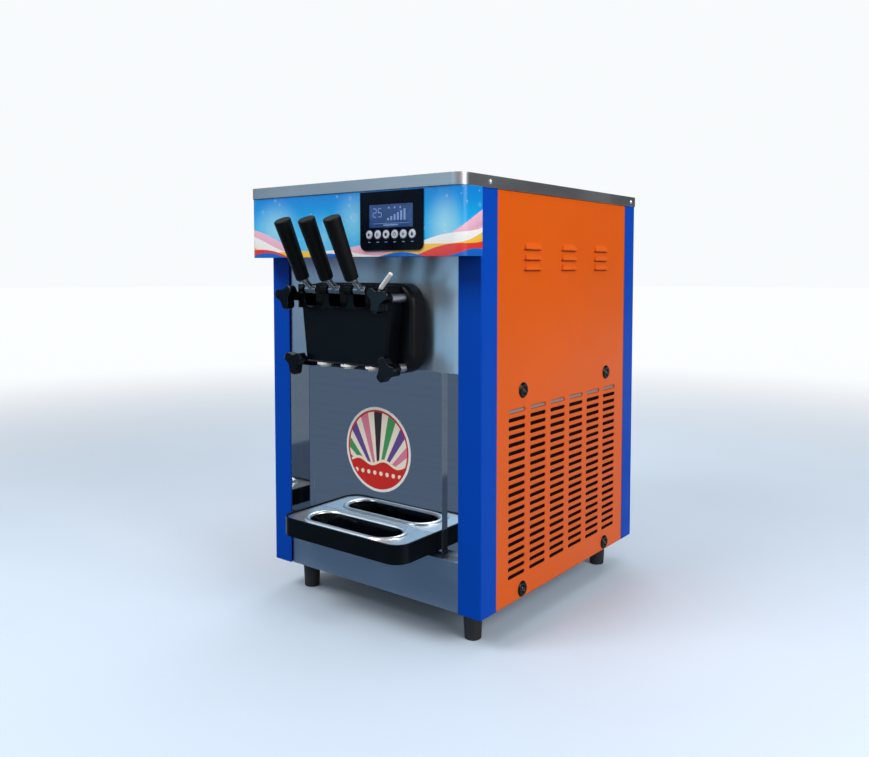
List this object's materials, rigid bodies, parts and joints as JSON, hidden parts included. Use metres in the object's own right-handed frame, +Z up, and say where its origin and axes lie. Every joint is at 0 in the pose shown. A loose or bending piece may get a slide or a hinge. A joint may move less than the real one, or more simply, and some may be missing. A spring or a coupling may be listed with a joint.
{
  "type": "soft serve machine",
  "caption": "Countertop soft serve machine with lever-drawn valves over a drip tray, freezing cylinders with beaters, lidded hoppers and a louvred painted cabinet.",
  "frame": {"origin": "floor level, under the centre of the whole machine's bounding box", "axes": "+X to the right seen from the front, +Y to the back, +Z up; the levers face -Y"},
  "size_m": [0.5494, 0.7973, 0.8726],
  "materials": {
    "orange_paint": "smooth powder coat, semi-gloss",
    "blue_paint": "smooth powder coat, semi-gloss",
    "sky_panel": "printed gloss panel",
    "stainless": "fine brushed",
    "mirror_steel": "polished to a mirror",
    "galvanised": "dull zinc",
    "black_plastic": "satin moulded",
    "panel_black": "gloss membrane",
    "button_black": "satin gloss",
    "display_glass": "gloss clear face",
    "rubber_black": "matte",
    "white_plastic": "satin moulded",
    "polished_steel": "polished",
    "motor_paint": "matte enamel",
    "compressor_paint": "gloss enamel",
    "aluminium_fins": "dull"
  },
  "bodies": {
    "machine": {"base_pan": "galvanised", "feet": "rubber_black", "corner_posts": "blue_paint", "side_panel_left": "orange_paint", "side_panel_right": "orange_paint", "rear_panel": "stainless", "cup_washers": "rubber_black", "panel_screws": "polished_steel", "mid_shelf": "galvanised", "top_cover": "stainless", "hoppers": "stainless", "header_fascia": "sky_panel", "control_panel": "panel_black", "display_window": "display_glass", "upper_front_panel": "stainless", "recess_panel": "stainless", "splash_panel": "mirror_steel", "lower_front_panel": "stainless", "tray_rails": "galvanised", "head_collar": "black_plastic", "dispensing_head": "black_plastic", "head_seals": "white_plastic", "head_studs": "polished_steel", "nozzles": "white_plastic", "freezing_cylinders": "galvanised", "gear_motors": "motor_paint", "compressor": "compressor_paint", "condenser": "aluminium_fins", "fan_motor": "motor_paint", "control_box": "motor_paint"},
    "lever_left": {"lever_left": "polished_steel", "grip_left": "black_plastic"},
    "plunger_left": {"plunger_left": "black_plastic"},
    "lever_centre": {"lever_centre": "polished_steel", "grip_centre": "black_plastic"},
    "plunger_centre": {"plunger_centre": "black_plastic"},
    "lever_right": {"lever_right": "polished_steel", "grip_right": "black_plastic"},
    "plunger_right": {"plunger_right": "black_plastic"},
    "handle_pin": {"handle_pin": "polished_steel"},
    "knob_upper_left": {"knob_upper_left": "black_plastic"},
    "knob_upper_right": {"knob_upper_right": "black_plastic"},
    "knob_lower_left": {"knob_lower_left": "black_plastic"},
    "knob_lower_right": {"knob_lower_right": "black_plastic"},
    "button_1": {"button_1": "button_black"},
    "button_2": {"button_2": "button_black"},
    "button_3": {"button_3": "button_black"},
    "button_4": {"button_4": "button_black"},
    "button_5": {"button_5": "button_black"},
    "button_6": {"button_6": "button_black"},
    "hopper_lid_left": {"hopper_lid_left": "stainless"},
    "air_tube_left": {"air_tube_left": "white_plastic"},
    "beater_left": {"beater_left": "white_plastic"},
    "hopper_lid_right": {"hopper_lid_right": "stainless"},
    "air_tube_right": {"air_tube_right": "white_plastic"},
    "beater_right": {"beater_right": "white_plastic"},
    "drip_tray": {"drip_tray": "black_plastic", "tray_deck": "stainless"},
    "drip_dish": {"drip_dish": "black_plastic"},
    "fan": {"fan": "motor_paint"}
  },
  "joints": [
    {"name": "lever_left_swing", "type": "hinge", "parent": "machine", "child": "lever_left", "pos_m": [-0.063, -0.30834, 0.6515], "axis": [1, 0, 0], "range_deg": [0, 55]},
    {"name": "plunger_left_lift", "type": "slide", "parent": "machine", "child": "plunger_left", "axis": [0, 0, 1], "range_m": [0, 0.0306]},
    {"name": "lever_centre_swing", "type": "hinge", "parent": "machine", "child": "lever_centre", "pos_m": [0, -0.30834, 0.6515], "axis": [1, 0, 0], "range_deg": [0, 55]},
    {"name": "plunger_centre_lift", "type": "slide", "parent": "machine", "child": "plunger_centre", "axis": [0, 0, 1], "range_m": [0, 0.0306]},
    {"name": "lever_right_swing", "type": "hinge", "parent": "machine", "child": "lever_right", "pos_m": [0.063, -0.30834, 0.6515], "axis": [1, 0, 0], "range_deg": [0, 55]},
    {"name": "plunger_right_lift", "type": "slide", "parent": "machine", "child": "plunger_right", "axis": [0, 0, 1], "range_m": [0, 0.0306]},
    {"name": "handle_pin_pull", "type": "slide", "parent": "machine", "child": "handle_pin", "axis": [1, 0, 0], "range_m": [0, 0.2]},
    {"name": "knob_upper_left_turn", "type": "hinge", "parent": "machine", "child": "knob_upper_left", "pos_m": [-0.119, -0.30634, 0.638], "axis": [0, 1, 0], "continuous": true},
    {"name": "knob_upper_right_turn", "type": "hinge", "parent": "machine", "child": "knob_upper_right", "pos_m": [0.119, -0.30634, 0.638], "axis": [0, 1, 0], "continuous": true},
    {"name": "knob_lower_left_turn", "type": "hinge", "parent": "machine", "child": "knob_lower_left", "pos_m": [-0.119, -0.30634, 0.51], "axis": [0, 1, 0], "continuous": true},
    {"name": "knob_lower_right_turn", "type": "hinge", "parent": "machine", "child": "knob_lower_right", "pos_m": [0.119, -0.30634, 0.51], "axis": [0, 1, 0], "continuous": true},
    {"name": "button_1_press", "type": "slide", "parent": "machine", "child": "button_1", "axis": [0, 1, 0], "range_m": [0, 0.001], "stiffness_N_per_m": 400},
    {"name": "button_2_press", "type": "slide", "parent": "machine", "child": "button_2", "axis": [0, 1, 0], "range_m": [0, 0.001], "stiffness_N_per_m": 400},
    {"name": "button_3_press", "type": "slide", "parent": "machine", "child": "button_3", "axis": [0, 1, 0], "range_m": [0, 0.001], "stiffness_N_per_m": 400},
    {"name": "button_4_press", "type": "slide", "parent": "machine", "child": "button_4", "axis": [0, 1, 0], "range_m": [0, 0.001], "stiffness_N_per_m": 400},
    {"name": "button_5_press", "type": "slide", "parent": "machine", "child": "button_5", "axis": [0, 1, 0], "range_m": [0, 0.001], "stiffness_N_per_m": 400},
    {"name": "button_6_press", "type": "slide", "parent": "machine", "child": "button_6", "axis": [0, 1, 0], "range_m": [0, 0.001], "stiffness_N_per_m": 400},
    {"name": "hopper_lid_left_lift", "type": "slide", "parent": "machine", "child": "hopper_lid_left", "axis": [0, 0, 1], "range_m": [0, 0.06]},
    {"name": "air_tube_left_lift", "type": "slide", "parent": "machine", "child": "air_tube_left", "axis": [0, 0, 1], "range_m": [0, 0.025]},
    {"name": "beater_left_spin", "type": "hinge", "parent": "machine", "child": "beater_left", "pos_m": [-0.063, -0.07634, 0.584], "axis": [0, 1, 0], "continuous": true},
    {"name": "hopper_lid_right_lift", "type": "slide", "parent": "machine", "child": "hopper_lid_right", "axis": [0, 0, 1], "range_m": [0, 0.06]},
    {"name": "air_tube_right_lift", "type": "slide", "parent": "machine", "child": "air_tube_right", "axis": [0, 0, 1], "range_m": [0, 0.025]},
    {"name": "beater_right_spin", "type": "hinge", "parent": "machine", "child": "beater_right", "pos_m": [0.063, -0.07634, 0.584], "axis": [0, 1, 0], "continuous": true},
    {"name": "drip_tray_pull", "type": "slide", "parent": "machine", "child": "drip_tray", "axis": [0, -1, 0], "range_m": [0, 0.09]},
    {"name": "drip_dish_lift", "type": "slide", "parent": "drip_tray", "child": "drip_dish", "axis": [0, 0, 1], "range_m": [0, 0.04]},
    {"name": "fan_spin", "type": "hinge", "parent": "machine", "child": "fan", "pos_m": [0.18, 0.05366, 0.2105], "axis": [1, 0, 0], "continuous": true}
  ],
  "couplings": [
    {"joint": "plunger_left_lift", "follows": "lever_left_swing", "m_per_rad": 0.03175},
    {"joint": "plunger_centre_lift", "follows": "lever_centre_swing", "m_per_rad": 0.03175},
    {"joint": "plunger_right_lift", "follows": "lever_right_swing", "m_per_rad": 0.03175}
  ]
}
